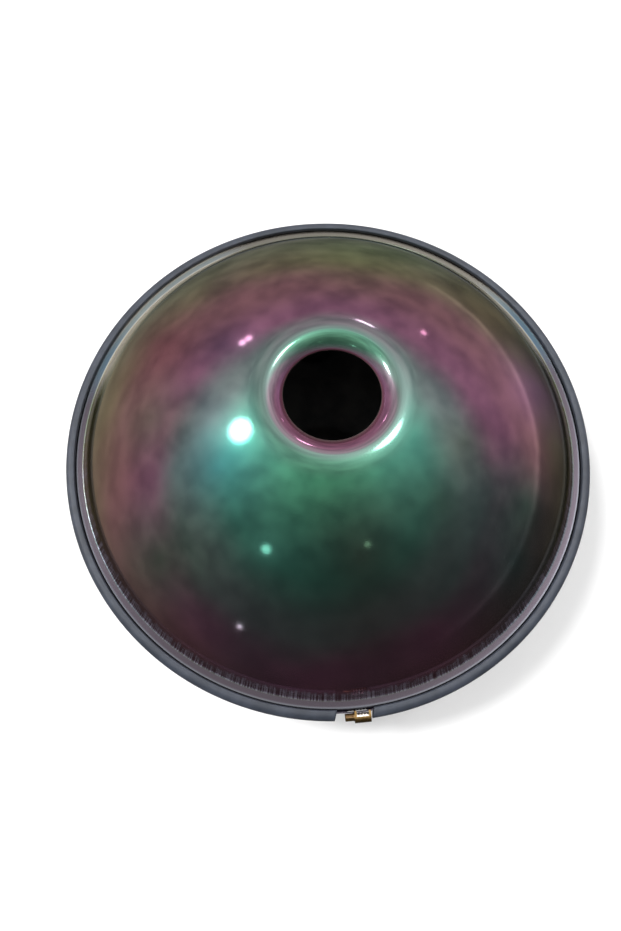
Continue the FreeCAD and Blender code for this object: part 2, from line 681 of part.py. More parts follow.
doc.recompute()
for item in doc.Objects:
    if "Invalid" in item.State or "Error" in item.State:
        raise RuntimeError(f"{item.Name} did not compute: {item.State}")
for part in PARTS:
    shape = part.Shape
    if shape.isNull() or not shape.isValid() or len(shape.Solids) != 1:
        raise RuntimeError(f"{part.Label} is not one valid solid")
    shape.exportStep(f"parts/{part.Label}.step")
    print(f"{part.Label}: {shape.Volume:.0f} mm3")
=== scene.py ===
import math

import bpy
from mathutils import Euler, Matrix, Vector

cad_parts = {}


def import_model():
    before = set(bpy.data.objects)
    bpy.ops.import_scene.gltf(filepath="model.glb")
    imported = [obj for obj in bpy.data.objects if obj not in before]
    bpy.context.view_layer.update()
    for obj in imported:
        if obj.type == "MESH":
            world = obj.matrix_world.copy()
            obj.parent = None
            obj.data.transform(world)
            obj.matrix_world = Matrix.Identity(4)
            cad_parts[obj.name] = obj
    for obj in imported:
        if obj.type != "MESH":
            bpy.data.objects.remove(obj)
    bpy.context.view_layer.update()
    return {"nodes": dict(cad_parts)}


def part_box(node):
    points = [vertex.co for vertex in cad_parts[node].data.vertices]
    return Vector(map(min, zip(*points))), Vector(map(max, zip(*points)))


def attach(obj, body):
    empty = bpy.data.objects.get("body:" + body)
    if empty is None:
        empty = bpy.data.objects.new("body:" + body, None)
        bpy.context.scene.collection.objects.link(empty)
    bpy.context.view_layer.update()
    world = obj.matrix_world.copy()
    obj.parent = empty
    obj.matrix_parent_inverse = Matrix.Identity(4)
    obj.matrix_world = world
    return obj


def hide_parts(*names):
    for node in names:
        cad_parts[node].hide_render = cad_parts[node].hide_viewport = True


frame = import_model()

# A handpan lying with its port up, its rim clamp at the front (-Y). Metres, +Z up.
# Lengths below are in millimetres and go through MM.
MM = 0.001

# ---------------------------------------------------------------- places from the frame

PORT_LOW, PORT_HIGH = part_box("bottom_shell")
DING_LOW, DING_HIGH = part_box("top_shell")
GUARD_LOW, GUARD_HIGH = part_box("rim_guard")
PARTING = (PORT_LOW.z + DING_HIGH.z) / 2 / MM
FLANGE_RADIUS = PORT_HIGH.x / MM
GUARD_RADIUS = GUARD_HIGH.x / MM
GUARD_HALF = (GUARD_HIGH.z - GUARD_LOW.z) / 2 / MM
LIP_HEIGHT = PORT_HIGH.z / MM - PARTING
REST_DEPTH = PARTING - DING_LOW.z / MM
HALF_GLUE = PORT_LOW.z / MM - PARTING

# ---------------------------------------------------------------- shape of the pan, as in the CAD

SHEET = 1.2
FOOT_RADIUS = 3.0
STACK = HALF_GLUE + SHEET  # from the parting plane to the outside of a flange

PORT_DOME_RADIUS, PORT_DOME_APEX = 294.8, 135.3
PORT_RADIUS, NECK_LENGTH, NECK_TURN, LIP_RADIUS, LIP_WIDTH = 41.6, 1.2, 4.0, 19.0, 16.0

DING_DOME_RADIUS, DING_DOME_APEX = 305.0, 126.4
DING_DIMPLE_RADIUS, DING_DIMPLE_DEPTH = 40.0, 6.0
FIELD_COUNT, FIELD_CIRCLE, LARGEST_FIELD, FIELD_STEP = 8, 155.0, 58.0, 1.2
DIMPLE_DEPTH, DIMPLE_RISE, DIMPLE_LONG, DIMPLE_WIDE = 4.5, 40.0, 56.0, 43.0
# how softly each pressed shape runs into the dome, and the cosine past which a field has ended
FIELD_BLEND, DIMPLE_BLEND, REST_BLEND = 2.5, 1.2, 0.8
FIELD_COSINE = 0.93

GUARD_LIP_RADIUS, GUARD_WALL, GUARD_LIP_ROUND = 255.4, 1.3, 1.2
# corner inside the guard's lip: how far it runs outwards, and its drop at either end
CORNER_RUN, CORNER_DROP, CORNER_END = 0.84, 0.30, 0.02
# the guard's two cuts beside the clamp, as (x, y) outside and inside the rim
GAP_LEFT, GAP_RIGHT = ((-21.7, -266.0), (-17.2, -252.1)), ((12.6, -266.0), (15.5, -252.1))

# steps round the axis, rings over the ding dome, and a row of points near the flange's edge
TURN_STEPS, GUARD_STEPS, DING_RINGS = 480, 720, 150
EDGE_ROW = 3.0
COATED, BARE = 0, 1  # material places on the shells


# ---------------------------------------------------------------- mesh helpers

def arc(center, radius, start, end, steps):
    """Points on a circle in the (radius, height) plane, both ends included."""
    return [
        (center[0] + radius * math.cos(start + (end - start) * k / steps),
         center[1] + radius * math.sin(start + (end - start) * k / steps))
        for k in range(steps + 1)
    ]


def direction(start, end):
    """Angle of the way from one point to another."""
    return math.atan2(end[1] - start[1], end[0] - start[0])


def nearer_root(square, linear, constant):
    """Smaller root of a quadratic, or None where it has no two roots."""
    inside = linear * linear - 4 * square * constant
    return (-linear - math.sqrt(inside)) / (2 * square) if inside > 0 else None


def foot_center(dome_radius, dome_apex):
    """Centre of the small arc that turns a dome out into its flange."""
    height = STACK + FOOT_RADIUS
    rise = height - (dome_apex - dome_radius)
    return math.sqrt((dome_radius + FOOT_RADIUS) ** 2 - rise**2), height


def mesh_object(name, points, faces, body, node, materials):
    """Smooth mesh piece in metres from millimetres, riding on a body in place of a CAD node."""
    mesh = bpy.data.meshes.new(name)
    mesh.from_pydata([tuple(c * MM for c in p) for p in points], [], faces)
    mesh.validate()
    for polygon in mesh.polygons:
        polygon.use_smooth = True
    for material in materials:
        mesh.materials.append(material)
    piece = bpy.data.objects.new(name, mesh)
    bpy.context.scene.collection.objects.link(piece)
    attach(piece, body)
    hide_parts(node)
    return piece


def turned(loop, steps):
    """Points and quads of a closed loop turned about Z."""
    points, faces = [], []
    for k in range(steps):
        angle = 2 * math.pi * k / steps
        points += [(r * math.cos(angle), r * math.sin(angle), z) for r, z in loop]
    count = len(loop)
    for k in range(steps):
        a, b = k * count, (k + 1) % steps * count
        for j in range(count):
            n = (j + 1) % count
            faces.append((a + j, b + j, b + n, a + n))
    return points, faces


# ---------------------------------------------------------------- shader nodes

class Nodes:
    """The nodes of one tree. Each input is a plain value or the socket it comes from."""

    def __init__(self, tree):
        self.tree = tree

    def fill(self, node, inputs):
        """Set or link the named inputs of a node."""
        for key, entry in inputs.items():
            if isinstance(entry, bpy.types.NodeSocket):
                self.tree.links.new(entry, node.inputs[key])
            else:
                node.inputs[key].default_value = entry

    def add(self, kind, inputs=None, **settings):
        """New node of a kind, with its inputs and settings."""
        node = self.tree.nodes.new(kind)
        for key, entry in settings.items():
            setattr(node, key, entry)
        self.fill(node, inputs or {})
        return node

    def maths(self, operation, *terms):
        """Output of a Math node."""
        return self.add("ShaderNodeMath", dict(enumerate(terms)), operation=operation).outputs[0]

    def product(self, first, *factors):
        """All the values multiplied together."""
        for factor in factors:
            first = self.maths("MULTIPLY", first, factor)
        return first

    def total(self, base, *terms):
        """Base plus each (value, weight) product."""
        for value, weight in terms:
            base = self.maths("MULTIPLY_ADD", value, weight, base)
        return base

    def vector(self, operation, *terms):
        """Vector from a Vector Math node."""
        made = self.add("ShaderNodeVectorMath", dict(enumerate(terms)), operation=operation)
        return made.outputs["Vector"]

    def measure(self, operation, *terms):
        """Number from a Vector Math node."""
        made = self.add("ShaderNodeVectorMath", dict(enumerate(terms)), operation=operation)
        return made.outputs["Value"]

    def parts(self, vector):
        """The three parts of a vector."""
        return tuple(self.add("ShaderNodeSeparateXYZ", {0: vector}).outputs)

    def rises(self, value, start, end, curve="SMOOTHSTEP"):
        """Mask that is 0 below the start and 1 past the end."""
        span = {"Value": value, "From Min": start, "From Max": end}
        return self.add("ShaderNodeMapRange", span, interpolation_type=curve).outputs[0]

    def falls(self, value, start, end):
        """Mask that is 1 below the start and 0 past the end."""
        return self.maths("SUBTRACT", 1.0, self.rises(value, start, end))

    def coordinates(self):
        """Outputs of a Texture Coordinate node."""
        return self.add("ShaderNodeTexCoord").outputs

    def noise(self, place, scale, detail=2.0, roughness=0.5):
        """Soft noise between 0 and 1."""
        return self.add("ShaderNodeTexNoise", {"Vector": place, "Scale": scale, "Detail": detail,
                                               "Roughness": roughness}).outputs[0]

    def ramp(self, factor, stops, curve="EASE"):
        """Colour ramp through (position, colour) stops."""
        made = self.add("ShaderNodeValToRGB", {"Fac": factor})
        made.color_ramp.interpolation = curve
        elements = made.color_ramp.elements
        elements[0].position, elements[1].position = stops[0][0], stops[-1][0]
        elements[0].color = (*stops[0][1], 1)
        elements[1].color = (*stops[-1][1], 1)
        for position, color in stops[1:-1]:
            elements.new(position).color = (*color, 1)
        return made.outputs["Color"]

    def levels(self, factor, stops):
        """Straight ramp through (position, grey) stops."""
        return self.ramp(factor, [(at, (grey, grey, grey)) for at, grey in stops], "LINEAR")

    def mottle(self, noise, low, high):
        """Colour that wanders between two tones."""
        return self.ramp(noise, [(0.3, low), (0.7, high)])

    def blend(self, factor, first, second, kind="MIX"):
        """Colour from a Mix node."""
        inputs = {0: factor}
        for key, entry in ((6, first), (7, second)):
            inputs[key] = (*entry, 1) if isinstance(entry, tuple) else entry
        return self.add("ShaderNodeMix", inputs, data_type="RGBA", blend_type=kind).outputs[2]

    def bump(self, height, strength, distance):
        """Normal tilted by the slope of a height."""
        return self.add("ShaderNodeBump", {"Height": height, "Strength": strength,
                                           "Distance": distance}).outputs[0]


def new_material(name):
    """Material with its nodes and its shader."""
    material = bpy.data.materials.new(name)
    material.use_nodes = True
    tree = material.node_tree
    return material, Nodes(tree), tree.nodes["Principled BSDF"]


# ---------------------------------------------------------------- the coat

# Painted reflection colour: the coat's shift in colour with the viewing angle, as fixed bands seen
# from the clamp's side:
# green over the crown there, then rose, then olive. Stops are distances from the middle of the
# green, in parts of the reach.
FACING_MIDDLE, COAT_REACH, COAT_DRIFT = (-12, -75, 0), 300, 0.10
ANGLE_COLOR_STOPS = [
    (0.00, (0.042, 0.165, 0.098)),
    (0.26, (0.050, 0.160, 0.120)),
    (0.40, (0.120, 0.140, 0.135)),
    (0.50, (0.197, 0.083, 0.130)),
    (0.64, (0.205, 0.095, 0.105)),
    (0.78, (0.170, 0.145, 0.070)),
    (0.90, (0.155, 0.175, 0.065)),
    (1.00, (0.180, 0.190, 0.105)),
]
# Over the rolled lip the same painted angle colours follow the slope against a fixed axis leaning
# to the clamp's side, from facing that axis to edge on.
LIP_FACING_AXIS = (-0.07, -0.41, 0.91)
LIP_STOPS = [
    (0.00, (0.320, 0.280, 0.250)),
    (0.25, (0.235, 0.145, 0.155)),
    (0.50, (0.235, 0.085, 0.125)),
    (0.72, (0.215, 0.090, 0.140)),
    (0.86, (0.175, 0.125, 0.150)),
    (0.92, (0.110, 0.160, 0.140)),
    (0.96, (0.070, 0.165, 0.115)),
    (1.00, (0.065, 0.165, 0.110)),
]
# Patches of painted reflection, lighter and darker tones set into the coat: x, y, reach in mm,
# colour, strength
REFLECTION_PATCHES = [
    (205, 15, 65, (0.215, 0.080, 0.200), 0.90),
    (178, 102, 48, (0.380, 0.285, 0.105), 0.85),
    (50, 200, 125, (0.095, 0.180, 0.025), 0.95),
    (105, 190, 70, (0.070, 0.200, 0.012), 0.90),
    (160, 135, 50, (0.190, 0.165, 0.020), 0.80),
    (-70, 120, 60, (0.170, 0.070, 0.085), 0.75),
    (-85, 145, 40, (0.100, 0.055, 0.065), 0.60),
    (-155, 85, 75, (0.190, 0.055, 0.070), 0.85),
    (-90, 55, 45, (0.070, 0.050, 0.080), 0.70),
    (-108, 2, 40, (0.050, 0.068, 0.078), 0.70),
    (-160, 5, 60, (0.170, 0.150, 0.105), 0.85),
    (-225, -20, 60, (0.145, 0.095, 0.065), 0.85),
    (-100, -55, 65, (0.020, 0.110, 0.125), 0.85),
    (-160, -115, 85, (0.060, 0.115, 0.065), 0.90),
    (-90, -190, 70, (0.080, 0.085, 0.095), 0.65),
    (10, -135, 75, (0.062, 0.056, 0.045), 0.85),
    (20, -200, 70, (0.085, 0.060, 0.060), 0.80),
    (10, -238, 35, (0.170, 0.090, 0.125), 0.85),
    (80, -100, 65, (0.040, 0.070, 0.045), 0.85),
    (150, -145, 110, (0.060, 0.110, 0.100), 0.95),
    (165, -98, 65, (0.042, 0.112, 0.078), 0.90),
    (105, -50, 45, (0.060, 0.068, 0.040), 0.90),
]
PATCH_RAGGED, PATCH_FRINGE = 50, 25
# Matte stretches of the rim painted with a pale reflection: x, y, reach in mm, and how far inside
# and past it they fade
GLARE_RIM = [(-165, 165, 120), (215, 115, 60)]
DULL_INSIDE, DULL_PAST = 40, 15

# Radii between which one part of a shell gives way to the next
LIP_FADE, SHOULDER_FADE = (56, 68), (64, 80)
RIM_FADE, FOOT_FADE, FLANGE_FADE, EDGE_FADE = (218, 236), (237, 244), (247.8, 249), (252.2, 254.4)
# the same along Y, from the clamp's side and towards the far side
FRONT_FADE, REAR_FADE = (-100, 20), (110, 170)
# Turned-in edge of the lip, by its radius and by how far it still faces up
INWARD_FADE, INWARD_UP = (50, 54), (0.45, 0.97)
# Short radial tool marks on the foot
TICK_START, TICK_END, TICK_RAGGED, TICK_NOISE = (235.5, 237.5), (247.5, 249), 10, (0.46, 0.58)

# Polishing scratches: changes per mm of radius and round the axis, and weight beside the grain
SCRATCH_RINGS, SCRATCH_TURN, SCRATCH_SHARE = 0.9, 14.0, 0.7

# Tint of each of these parts of the coat, and how much of it shows
# the shoulder's tint is painted angle colour, a green-grey ring round the lip
SHOULDER_TINT, SHOULDER_SHARE = (0.075, 0.125, 0.105), 0.45
# the foot's tint is painted shade, darkening it on the clamp's side
FOOT_PAINTED_SHADE, FOOT_SHADE_SHARE = (0.022, 0.016, 0.021), 0.75
TICK_TINT, TICK_SHARE = (0.26, 0.23, 0.29), 0.70
# the rim stretches' tint is a painted pale reflection
GLARE_TINT, GLARE_SHARE = (0.50, 0.46, 0.37), 0.85
# Bare flange, near the clamp and on the far side, where it is painted pale as a painted reflection;
# its edge is a painted highlight, a light line beside the guard, near the clamp and on the far side
FLANGE_BARE_AND_GLARE = (0.066, 0.056, 0.068), (0.17, 0.160, 0.14)
EDGE_HIGHLIGHTS = (0.130, 0.135, 0.155), (0.34, 0.30, 0.26)


def crown_color(nodes, place, flat):
    """Painted angle colour over the dome, in bands about the middle of the green, then the painted
    reflection patches.
    """
    drift = nodes.noise(place, scale=9.0, detail=3.0)
    middle = nodes.measure("DISTANCE", flat, FACING_MIDDLE)
    away = nodes.total(-COAT_DRIFT / 2, (drift, COAT_DRIFT), (middle, 1 / COAT_REACH))
    color = nodes.ramp(away, ANGLE_COLOR_STOPS)
    # patches of painted reflection
    for x, y, reach, tint, strength in REFLECTION_PATCHES:
        gap = nodes.measure("DISTANCE", flat, (x, y, 0))
        ragged = nodes.total(gap, (drift, PATCH_RAGGED))
        spread = nodes.falls(ragged, 0, reach + PATCH_FRINGE)
        color = nodes.blend(nodes.product(spread, strength), color, tint)
    return color


def tick_mask(nodes, radius, around):
    """Radial tool marks, ragged at their inner ends."""
    inner_end = nodes.total(radius, (nodes.noise(around, scale=60.0), -TICK_RAGGED))
    lines = nodes.rises(nodes.noise(around, scale=210.0, detail=1.0), *TICK_NOISE, "LINEAR")
    return nodes.product(nodes.falls(radius, *TICK_END), nodes.rises(inner_end, *TICK_START), lines)


def glare_mask(nodes, flat, radius):
    """Stretches of the rim painted with a pale reflection."""
    stretches = []
    for x, y, reach in GLARE_RIM:
        gap = nodes.measure("DISTANCE", flat, (x, y, 0))
        stretches.append((nodes.falls(gap, reach - DULL_INSIDE, reach + DULL_PAST), 1.0))
    return nodes.product(nodes.total(0.0, *stretches), nodes.rises(radius, *RIM_FADE))


def polish_bump(nodes, place, radius, around):
    """Fine grain with polishing scratches that run round the axis."""
    rings = nodes.add("ShaderNodeCombineXYZ", {2: nodes.product(radius, SCRATCH_RINGS)})
    turn = nodes.vector("MULTIPLY", around, (SCRATCH_TURN, SCRATCH_TURN, SCRATCH_TURN))
    track = nodes.vector("ADD", turn, rings.outputs[0])
    scratch = nodes.noise(track, scale=1.0, detail=3.0)
    height = nodes.total(nodes.noise(place, scale=700.0), (scratch, SCRATCH_SHARE))
    return nodes.bump(height, strength=0.05, distance=0.2 * MM)


def coat_material():
    """Polished steel under a thin transparent coat whose gloss shifts in colour with the angle;
    painted reflections and painted shade are in its colour.
    """
    material, nodes, shader = new_material("interference_coat")
    coordinates = nodes.coordinates()
    place, normal = coordinates["Object"], coordinates["Normal"]
    flat = nodes.vector("MULTIPLY", place, (1 / MM, 1 / MM, 0))
    radius, around = nodes.measure("LENGTH", flat), nodes.vector("NORMALIZE", flat)
    across_y, upright = nodes.parts(flat)[1], nodes.parts(normal)[2]
    front, rear = nodes.falls(across_y, *FRONT_FADE), nodes.rises(across_y, *REAR_FADE)
    foot, flange = nodes.rises(radius, *FOOT_FADE), nodes.rises(radius, *FLANGE_FADE)
    # dull marks the rim stretches painted with a pale reflection, which are also made matte
    dull = glare_mask(nodes, flat, radius)

    # painted reflection colour: the coat's angle colour as fixed bands, with patches of painted
    # reflection
    color = crown_color(nodes, place, flat)
    # painted angle colour: a green-grey ring on the shoulder round the lip
    shoulder = nodes.product(nodes.falls(radius, *SHOULDER_FADE), SHOULDER_SHARE)
    color = nodes.blend(shoulder, color, SHOULDER_TINT)
    # painted angle colour over the lip, by its slope against a fixed axis leaning to the clamp's
    # side
    slope = nodes.measure("DOT_PRODUCT", normal, LIP_FACING_AXIS)
    color = nodes.blend(nodes.falls(radius, *LIP_FADE), color, nodes.ramp(slope, LIP_STOPS))
    # painted shade: the foot darkened on the clamp's side
    color = nodes.blend(nodes.product(foot, front, FOOT_SHADE_SHARE), color, FOOT_PAINTED_SHADE)
    ticks = nodes.product(tick_mask(nodes, radius, around), TICK_SHARE)
    color = nodes.blend(ticks, color, TICK_TINT)
    # painted reflection: pale stretches along the rim
    color = nodes.blend(nodes.product(dull, GLARE_SHARE), color, GLARE_TINT)
    # bare flange, painted pale on the far side as a painted reflection
    color = nodes.blend(flange, color, nodes.blend(rear, *FLANGE_BARE_AND_GLARE))
    # painted highlight: a light line along the flange's edge beside the guard
    color = nodes.blend(nodes.rises(radius, *EDGE_FADE), color, nodes.blend(rear, *EDGE_HIGHLIGHTS))

    # the turned-in edge of the lip and the rim stretches of painted reflection are matte, and the
    # foot half as much
    inward = nodes.product(nodes.falls(upright, *INWARD_UP), nodes.falls(radius, *INWARD_FADE))
    softer = nodes.product(nodes.maths("SUBTRACT", foot, flange), 0.5)
    matte = nodes.maths("MAXIMUM", nodes.maths("MAXIMUM", inward, softer), dull)
    smear = nodes.noise(place, scale=22.0, detail=4.0)
    nodes.fill(shader, {
        "Base Color": color,
        "Metallic": nodes.total(0.92, (matte, -0.45), (flange, 0.08)),
        "Roughness": nodes.total(0.060, (smear, 0.05), (matte, 0.15), (flange, 0.15)),
        "IOR": 2.3,
        "Thin Film Thickness": 397.0,
        "Thin Film IOR": 1.3,
        "Normal": polish_bump(nodes, place, radius, around),
    })
    return material


# ---------------------------------------------------------------- the other materials

def inner_material():
    """Bare inside of the shells: dull dark steel."""
    material, nodes, shader = new_material("bare_inside")
    blotch = nodes.noise(nodes.coordinates()["Object"], scale=30.0, detail=5.0)
    nodes.fill(shader, {
        "Base Color": nodes.mottle(blotch, (0.020, 0.020, 0.022), (0.045, 0.043, 0.042)),
        "Metallic": 0.7,
        "Roughness": 0.5,
    })
    return material


def rubber_material():
    """Grey-blue extruded rubber, dusty and finely grained."""
    material, nodes, shader = new_material("guard_rubber")
    place = nodes.coordinates()["Object"]
    blotch, grain = nodes.noise(place, scale=60.0, detail=5.0), nodes.noise(place, scale=2500.0)
    nodes.fill(shader, {
        "Base Color": nodes.mottle(blotch, (0.022, 0.027, 0.038), (0.038, 0.045, 0.062)),
        "Roughness": 0.45,
        "Normal": nodes.bump(grain, strength=0.15, distance=0.1 * MM),
    })
    return material


def metal_material(name, low, high, roughness, right=None):
    """Mottled tone with a metallic shine. right is (x in mm, tone) for what lies beyond that x,
    where it paints a highlight.
    """
    material, nodes, shader = new_material(name)
    place = nodes.coordinates()["Object"]
    color = nodes.mottle(nodes.noise(place, scale=400.0, detail=4.0), low, high)
    if right:
        start, tone = right
        beyond = nodes.maths("GREATER_THAN", nodes.parts(place)[0], start * MM)
        color = nodes.blend(beyond, color, tone)
    nodes.fill(shader, {"Base Color": color, "Metallic": 1.0, "Roughness": roughness})
    return material


coat, inside = coat_material(), inner_material()
rubber = rubber_material()
zinc = metal_material("yellow_zinc_plate", (0.20, 0.12, 0.04), (0.34, 0.22, 0.09),
                      roughness=0.36)
# the screw's threads past x = -2 mm are painted near white, a painted highlight on their crests
bright = metal_material("zinc_plate_with_painted_glint", (0.22, 0.14, 0.06), (0.36, 0.25, 0.12),
                        roughness=0.30, right=(-2.0, (0.92, 0.88, 0.78)))
strip = metal_material("rolled_strip", (0.045, 0.040, 0.052), (0.085, 0.075, 0.095),
                       roughness=0.36)
glue = metal_material("cured_adhesive", (0.02, 0.02, 0.02), (0.04, 0.04, 0.045), roughness=0.5)


# ---------------------------------------------------------------- port shell

def port_section():
    """Closed loop of the port shell's half section, and how many of its points are outer skin."""
    lip_at = (PORT_RADIUS + LIP_WIDTH, LIP_HEIGHT - LIP_RADIUS)
    turn_at = (PORT_RADIUS + NECK_TURN,
               lip_at[1] + math.sqrt((LIP_RADIUS - NECK_TURN) ** 2 - (LIP_WIDTH - NECK_TURN) ** 2))
    dome_at = (0.0, PORT_DOME_APEX - PORT_DOME_RADIUS)
    drop = PORT_DOME_APEX - LIP_HEIGHT
    shoulder = PORT_DOME_RADIUS - (lip_at[0] ** 2 + drop**2) / (2 * drop)
    shoulder_at = (lip_at[0], LIP_HEIGHT - shoulder)
    foot_at = foot_center(PORT_DOME_RADIUS, PORT_DOME_APEX)
    crest, lip_end = math.pi / 2, direction(lip_at, turn_at)
    dome_top, dome_low = direction(dome_at, shoulder_at), direction(dome_at, foot_at)

    def skin(inset):
        level = STACK - inset
        return (
            [(FLANGE_RADIUS, level), (FLANGE_RADIUS - EDGE_ROW, level)]
            + arc(foot_at, FOOT_RADIUS + inset, 1.5 * math.pi, dome_low + math.pi, steps=10)
            + arc(dome_at, PORT_DOME_RADIUS - inset, dome_low, dome_top, steps=90)[1:]
            + arc(shoulder_at, shoulder - inset, dome_top, crest, steps=14)[1:]
            + arc(lip_at, LIP_RADIUS - inset, crest, lip_end, steps=26)[1:]
            + arc(turn_at, NECK_TURN - inset, lip_end, math.pi, steps=8)[1:]
            + [(PORT_RADIUS + inset, turn_at[1] - NECK_LENGTH * k / 2) for k in (1, 2)]
        )

    outer, inner = skin(0.0), skin(SHEET)
    return outer + inner[::-1], len(outer)


section, outer_count = port_section()
points, faces = turned([(r, z + PARTING) for r, z in section], TURN_STEPS)
port_shell = mesh_object("port_shell", points, faces, "pan", "bottom_shell",
                         [coat, inside])
for polygon in port_shell.data.polygons:
    polygon.material_index = COATED if polygon.index % len(section) < outer_count else BARE


# ---------------------------------------------------------------- ding shell

def soft_min(first, second, rounding):
    """The smaller of two numbers, rounded where they are close."""
    near = max(rounding - abs(first - second), 0.0) / rounding
    return min(first, second) - near * near * rounding / 4


def note_fields():
    """Each note field as its axis, its two directions and the distance of its plane."""
    tilt = math.asin(FIELD_CIRCLE / DING_DOME_RADIUS)
    fields = []
    for note in range(FIELD_COUNT):
        side = 1 if note % 2 else -1
        azimuth = math.radians(90 + side * 360 / FIELD_COUNT * ((note + 1) // 2))
        axis = Vector((math.sin(tilt) * math.cos(azimuth), math.sin(tilt) * math.sin(azimuth),
                       math.cos(tilt)))
        across = Vector((-math.sin(azimuth), math.cos(azimuth), 0))
        radius = LARGEST_FIELD - note * FIELD_STEP
        fields.append((axis, across, axis.cross(across),
                       math.sqrt(DING_DOME_RADIUS**2 - radius**2)))
    return fields


FIELDS = note_fields()


def ding_reach(ray):
    """Distance from the dome's centre to the ding shell's outer skin along a ray."""
    reach = DING_DOME_RADIUS
    for axis, across, along, plane in FIELDS:
        facing = ray.dot(axis)
        if facing < FIELD_COSINE:
            continue
        reach = soft_min(reach, plane / facing, FIELD_BLEND)
        center = (plane + DIMPLE_RISE - DIMPLE_DEPTH) / DIMPLE_RISE
        u, v, w = facing / DIMPLE_RISE, ray.dot(across) / DIMPLE_LONG, ray.dot(along) / DIMPLE_WIDE
        dimple = nearer_root(u * u + v * v + w * w, -2 * u * center, center * center - 1)
        if dimple is not None:
            reach = soft_min(reach, dimple, DIMPLE_BLEND)
    plane = DING_DOME_RADIUS - DING_DOME_APEX + REST_DEPTH
    reach = min(reach, soft_min(reach, plane / ray.z, REST_BLEND))
    ball = (DING_DIMPLE_RADIUS**2 + DING_DIMPLE_DEPTH**2) / (2 * DING_DIMPLE_DEPTH)
    center = plane + ball - DING_DIMPLE_DEPTH
    ding = nearer_root(1.0, -2 * ray.z * center, center**2 - ball**2)
    return reach if ding is None else soft_min(reach, ding, REST_BLEND)


def ding_skins():
    """Ding shell as two skins of rings from the axis to the flange edge, heights downwards."""
    center = DING_DOME_APEX - DING_DOME_RADIUS
    foot_at = foot_center(DING_DOME_RADIUS, DING_DOME_APEX)
    dome_low = direction((0.0, center), foot_at)
    headings = [2 * math.pi * k / TURN_STEPS for k in range(TURN_STEPS)]
    rings = [[(Vector((0, 0, 1)), ding_reach(Vector((0, 0, 1))))]]
    for ring in range(1, DING_RINGS + 1):
        lean = (math.pi / 2 - dome_low) * ring / DING_RINGS
        rays = [Vector((math.sin(lean) * math.cos(heading), math.sin(lean) * math.sin(heading),
                        math.cos(lean))) for heading in headings]
        rings.append([(ray, ding_reach(ray)) for ray in rays])
    skins = []
    for inset in (0.0, SHEET):
        rows = [[(ray.x * (reach - inset), ray.y * (reach - inset),
                  center + ray.z * (reach - inset)) for ray, reach in ring] for ring in rings]
        rim = arc(foot_at, FOOT_RADIUS + inset, dome_low + math.pi, 1.5 * math.pi, steps=10)[1:]
        rim += [(FLANGE_RADIUS - EDGE_ROW, STACK - inset), (FLANGE_RADIUS, STACK - inset)]
        for radius, height in rim:
            rows.append([(radius * math.cos(heading), radius * math.sin(heading), height)
                         for heading in headings])
        skins.append(rows)
    return skins


def ding_mesh():
    """Points, faces and the material place of each face."""
    points, starts = [], []
    for skin in ding_skins():
        starts.append([])
        for row in skin:
            starts[-1].append(len(points))
            points.extend((x, y, PARTING - z) for x, y, z in row)
    faces, places = [], []
    for place, rows in zip((COATED, BARE), starts):
        order = -1 if place == COATED else 1
        for k in range(TURN_STEPS):
            n = (k + 1) % TURN_STEPS
            faces.append((rows[0], rows[1] + k, rows[1] + n)[::order])
            faces += [(a + k, b + k, b + n, a + n)[::order] for a, b in zip(rows[1:-1], rows[2:])]
        places += [place] * (len(faces) - len(places))
    outer, inner = starts[0][-1], starts[1][-1]
    for k in range(TURN_STEPS):
        n = (k + 1) % TURN_STEPS
        faces.append((outer + k, outer + n, inner + n, inner + k))
        places.append(COATED)
    return points, faces, places


points, faces, places = ding_mesh()
ding_shell = mesh_object("ding_shell", points, faces, "pan", "top_shell",
                         [coat, inside])
for polygon, place in zip(ding_shell.data.polygons, places):
    polygon.material_index = place


# ---------------------------------------------------------------- rim guard

def guard_skins():
    """Outer and inner outline of the slit hose, from the upper lip round the back to the lower."""
    nose_at = (GUARD_LIP_RADIUS + GUARD_LIP_ROUND, GUARD_HALF - GUARD_LIP_ROUND)
    back_at = (GUARD_RADIUS - GUARD_HALF, 0.0)
    lip_inside, inner_half = GUARD_LIP_RADIUS + GUARD_WALL, GUARD_HALF - GUARD_WALL
    half_turn, quarter, corner_steps = math.pi, math.pi / 2, 7
    outer = (
        [(GUARD_LIP_RADIUS, STACK), (GUARD_LIP_RADIUS, (STACK + nose_at[1]) / 2)]
        + arc(nose_at, GUARD_LIP_ROUND, half_turn, quarter, corner_steps)
        + arc(back_at, GUARD_HALF, quarter, 0, steps=12)
    )
    inner = (
        [(lip_inside, STACK), (lip_inside, (STACK + inner_half) / 2)]
        + [(lip_inside + CORNER_RUN * k / corner_steps,
            inner_half - CORNER_DROP + (CORNER_DROP - CORNER_END) * k / corner_steps)
           for k in range(corner_steps + 1)]
        + arc(back_at, inner_half, quarter, 0, steps=12)
    )
    return [side + [(r, -z) for r, z in side[::-1][1:]] for side in (outer, inner)]


def cut_angle(radius, line):
    """Angle at which a circle about the axis meets a straight cut across the rim."""
    (x0, y0), (x1, y1) = line
    dx, dy = x1 - x0, y1 - y0
    t = nearer_root(dx * dx + dy * dy, 2 * (x0 * dx + y0 * dy), x0 * x0 + y0 * y0 - radius * radius)
    return math.atan2(y0 + t * dy, x0 + t * dx)


